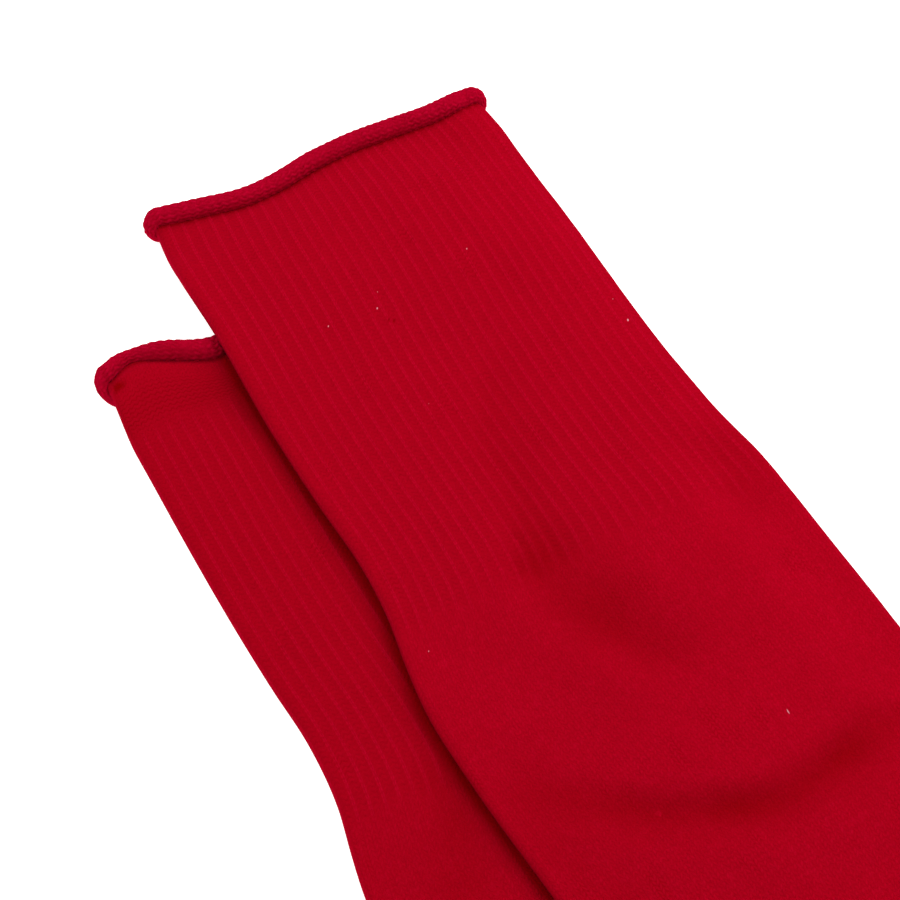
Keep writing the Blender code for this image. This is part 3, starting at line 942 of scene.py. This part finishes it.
def flat_knit(tree, yarn):
    """The height and the colour of the cloth below the roll: ribs, and plain knit before and after them.
    The ridges of the ribs get a painted highlight, and their grooves painted shade and purl bumps."""
    ribs = attribute(tree, "ribs")
    band = attribute(tree, "band")
    # The shade level: painted shade, with the real snags in it
    shade_and_snags = attribute(tree, "shade")
    rib_place = compute(tree, "FRACT", compute(tree, "DIVIDE", yarn.wales, float(WALES_A_RIB)))
    off_ridge = compute(tree, "ABSOLUTE", compute(tree, "SUBTRACT", rib_place, 0.5))
    groove = times(tree, ramp(tree, off_ridge, RIDGE_EDGE, 2 * RIDGE_EDGE), ribs)
    ridge = compute(tree, "SUBTRACT", ribs, groove)

    knit = stitch_height(tree, yarn.across, yarn.along)
    calm = plus(tree, times(tree, knit, 0.72), 0.12)
    even = blend_values(tree, compute(tree, "MAXIMUM", groove, band), calm, yarn.purl)
    stitches = times(tree, even, plus(tree, yarn.grain, 0.45))
    base = blend_colours(tree, ramp(tree, stitches, 0.05, 0.95, 0.15, 1.0), DEEP_RED, RED)
    base = worn(tree, yarn, base, DEEP_RED)

    # Painted shade in the rib grooves, and a painted highlight on the ridges that varies with the stitches
    # and patches
    groove_shade = times(tree, groove, ramp(tree, off_ridge, 0.28, 0.46, 0.62, 0.58))
    ridge_highlight = times(tree, ridge, ramp(tree, knit, 0.15, 0.60, 0.12, 0.55))
    ridge_highlight = times(tree, ridge_highlight, ramp(tree, yarn.patches, 0.35, 0.65, 0.65, 1.0))
    opened = compute(tree, "MAXIMUM", stretched(tree, yarn), times(tree, band, 0.8))
    gaps = times(tree, ramp(tree, even, 0.45, 0.10), opened)
    # Painted shade, deeper in the rib grooves where the painted shade of the folds lies
    deeper_groove_shade = times(tree, ramp(tree, shade_and_snags, 0.06, 0.28, 0.0, 0.20), groove)
    deeper_groove_shade = times(tree, deeper_groove_shade, ramp(tree, off_ridge, 0.14, 0.34))
    lint = ramp(tree, attribute(tree, "lint"), 0.40, 0.60)
    for share, colour in (
        (groove_shade, DEEP_RED),
        (ridge_highlight, PALE_RED),
        (times(tree, band, 0.70), DEEP_RED),
        (gaps, SHADE_AND_GAP_RED),
        (deeper_groove_shade, SHADE_AND_GAP_RED),
        (shade_and_snags, SHADE_AND_GAP_RED),
        (lint, LINT),
    ):
        base = blend_colours(tree, share, base, colour)
    return stitches, base


def knit_material(name, make_knit):
    """The red knit, with its height and its colour made by one of the two functions above."""
    material = bpy.data.materials.new(name)
    material.use_nodes = True
    tree = material.node_tree
    shader = tree.nodes["Principled BSDF"]
    for socket, value in KNIT_SURFACE.items():
        shader.inputs[socket].default_value = value
    yarn = add_yarn(tree)
    stitches, base = make_knit(tree, yarn)
    stitch_bump = new_node(
        tree, "ShaderNodeBump", (("Strength", 0.8), ("Distance", YARN_BUMP), ("Height", stitches))
    )
    fibre_bump = new_node(
        tree,
        "ShaderNodeBump",
        (
            ("Strength", 0.3),
            ("Distance", FIBRE_BUMP),
            ("Height", yarn.fuzz),
            ("Normal", stitch_bump.outputs[0]),
        ),
    )
    tree.links.new(base, shader.inputs["Base Color"])
    tree.links.new(fibre_bump.outputs[0], shader.inputs["Normal"])
    return material


def plain_material(name, colour, roughness, glow):
    """One plain colour, which also glows."""
    material = bpy.data.materials.new(name)
    material.use_nodes = True
    shader = material.node_tree.nodes["Principled BSDF"]
    shader.inputs["Base Color"].default_value = colour
    shader.inputs["Roughness"].default_value = roughness
    shader.inputs["Emission Color"].default_value = colour
    shader.inputs["Emission Strength"].default_value = glow
    return material


# ---------------------------------------------------------------- floor, light and camera

FLOOR_HALF = 3.0
FLOOR_WHITE = (0.95, 0.95, 0.95, 1.0)
FLOOR_ROUGHNESS = 0.9
FLOOR_GLOW = 0.75

# Soft round lights. towards is the way from the socks to a light.
Light = namedtuple("Light", "name towards distance size power colour")
LIGHTS = (
    Light("Key", (-0.12, 0.73, 0.67), 0.65, 0.60, 3.47, (1.0, 0.98, 0.97)),
    Light("Near", (-0.10, -0.80, 0.60), 0.65, 0.45, 1.54, (1.0, 1.0, 1.0)),
    Light("Top", (-0.80, 0.05, 0.60), 1.00, 0.60, 2.03, (0.97, 0.98, 1.0)),
    Light("Foot", (0.80, -0.10, 0.60), 1.50, 0.80, 2.44, (1.0, 1.0, 1.0)),
)
WORLD_STRENGTH = 0.315


def add_floor():
    """A plain pale floor, which isn't part of the object."""
    data = bpy.data.meshes.new("Floor")
    corners = [(x * FLOOR_HALF, y * FLOOR_HALF, 0) for x, y in ((-1, -1), (1, -1), (1, 1), (-1, 1))]
    data.from_pydata(corners, [], [(0, 1, 2, 3)])
    data.materials.append(plain_material("PaleFloor", FLOOR_WHITE, FLOOR_ROUGHNESS, FLOOR_GLOW))
    floor = bpy.data.objects.new("Floor", data)
    bpy.context.scene.collection.objects.link(floor)
    return floor


def add_lights(middle):
    """The lights, all turned to the middle of what the camera sees, and an even light from all round."""
    for light in LIGHTS:
        towards = Vector(light.towards).normalized()
        data = bpy.data.lights.new(light.name, "AREA")
        data.shape = "DISK"
        data.size = light.size
        data.energy = light.power
        data.color = light.colour
        made = bpy.data.objects.new(light.name, data)
        made.location = middle + towards * light.distance
        made.rotation_mode = "QUATERNION"
        made.rotation_quaternion = towards.to_track_quat("Z", "Y")
        bpy.context.scene.collection.objects.link(made)
    world = bpy.data.worlds.new("Studio")
    world.use_nodes = True
    background = world.node_tree.nodes["Background"]
    background.inputs["Color"].default_value = (1.0, 1.0, 1.0, 1.0)
    background.inputs["Strength"].default_value = WORLD_STRENGTH
    bpy.context.scene.world = world


def add_camera(shift):
    """The camera at the photograph's viewing angle."""
    turn, tilt = math.radians(CAMERA_AZIMUTH), math.radians(CAMERA_ELEVATION)
    back = Vector((math.sin(turn) * math.cos(tilt), -math.cos(turn) * math.cos(tilt), math.sin(tilt)))
    data = bpy.data.cameras.new("Camera")
    data.lens = CAMERA_LENS
    data.sensor_width = CAMERA_SENSOR
    data.clip_start = CAMERA_CLIP
    camera = bpy.data.objects.new("Camera", data)
    camera.location = CAMERA_TARGET + Vector(shift) + back * CAMERA_DISTANCE
    camera.rotation_mode = "QUATERNION"
    camera.rotation_quaternion = back.to_track_quat("Z", "Y")
    bpy.context.scene.collection.objects.link(camera)
    bpy.context.scene.camera = camera


# ---------------------------------------------------------------- the scene


def place_on_solids():
    """The step from the solids' own coordinates to where their box stands."""
    ring = make_ring(RIBS, EDGE_COLUMNS, RIBS)
    along = outer_stations()[:, None]
    edges = []
    for shown in (LOWER, UPPER):
        sock = shown._replace(bows=shown.bows[:SOLID_BOWS], swells={"near": (), "far": ()})
        points = place_points(sock, along, ring, outer_side, 0.0)
        front = place_points(sock, np.zeros((1, 1)), ring, front_of_roll(sock), 0.0)
        edges.append(np.concatenate([points.reshape(-1, 3), front.reshape(-1, 3)]))
    points = np.concatenate(edges)
    middle = (points.min(axis=0) + points.max(axis=0)) / 2
    box_middle = (np.array(CAD_BOX[0]) + np.array(CAD_BOX[1])) / 2
    return np.array([box_middle[0] - middle[0], box_middle[1] - middle[1], 0.0])


def front_of_roll(sock):
    """The profile of the roll's foremost points."""

    def profile(across, under):
        radius = roll_radius(sock, across, under)
        return -radius, radius

    return profile


def cut_size():
    """The width, length and area of one sock's cloth, cut open along one side and laid flat."""
    along = np.linspace(0.0, SOCK_LENGTH, CUT_STEPS)
    widths = 2 * (half_width("near", along) + half_width("far", along))
    area = (widths * toe_share(along, TOE_LENGTH)).mean() * SOCK_LENGTH
    return float(widths.max()), SOCK_LENGTH, float(area)


def main():
    """Build the scene, and measure one sock's cloth."""
    shift = place_on_solids()
    floor = add_floor()
    add_lights(Vector(shift) + CAMERA_TARGET)
    add_camera(shift)
    flat_material = knit_material("RedKnit", flat_knit)
    rolled_material = knit_material("RedRolledKnit", rolled_knit)
    width, length, area = cut_size()
    for sock in (LOWER, UPPER):
        body = knit_body(sock, shift)
        roll = knit_roll(sock, shift)
        body.data.materials.append(flat_material)
        roll.data.materials.append(rolled_material)
        for piece in (body, roll):
            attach(piece, "root")
            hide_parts(sock.name)
    bpy.context.scene.view_settings.view_transform = "Standard"


main()
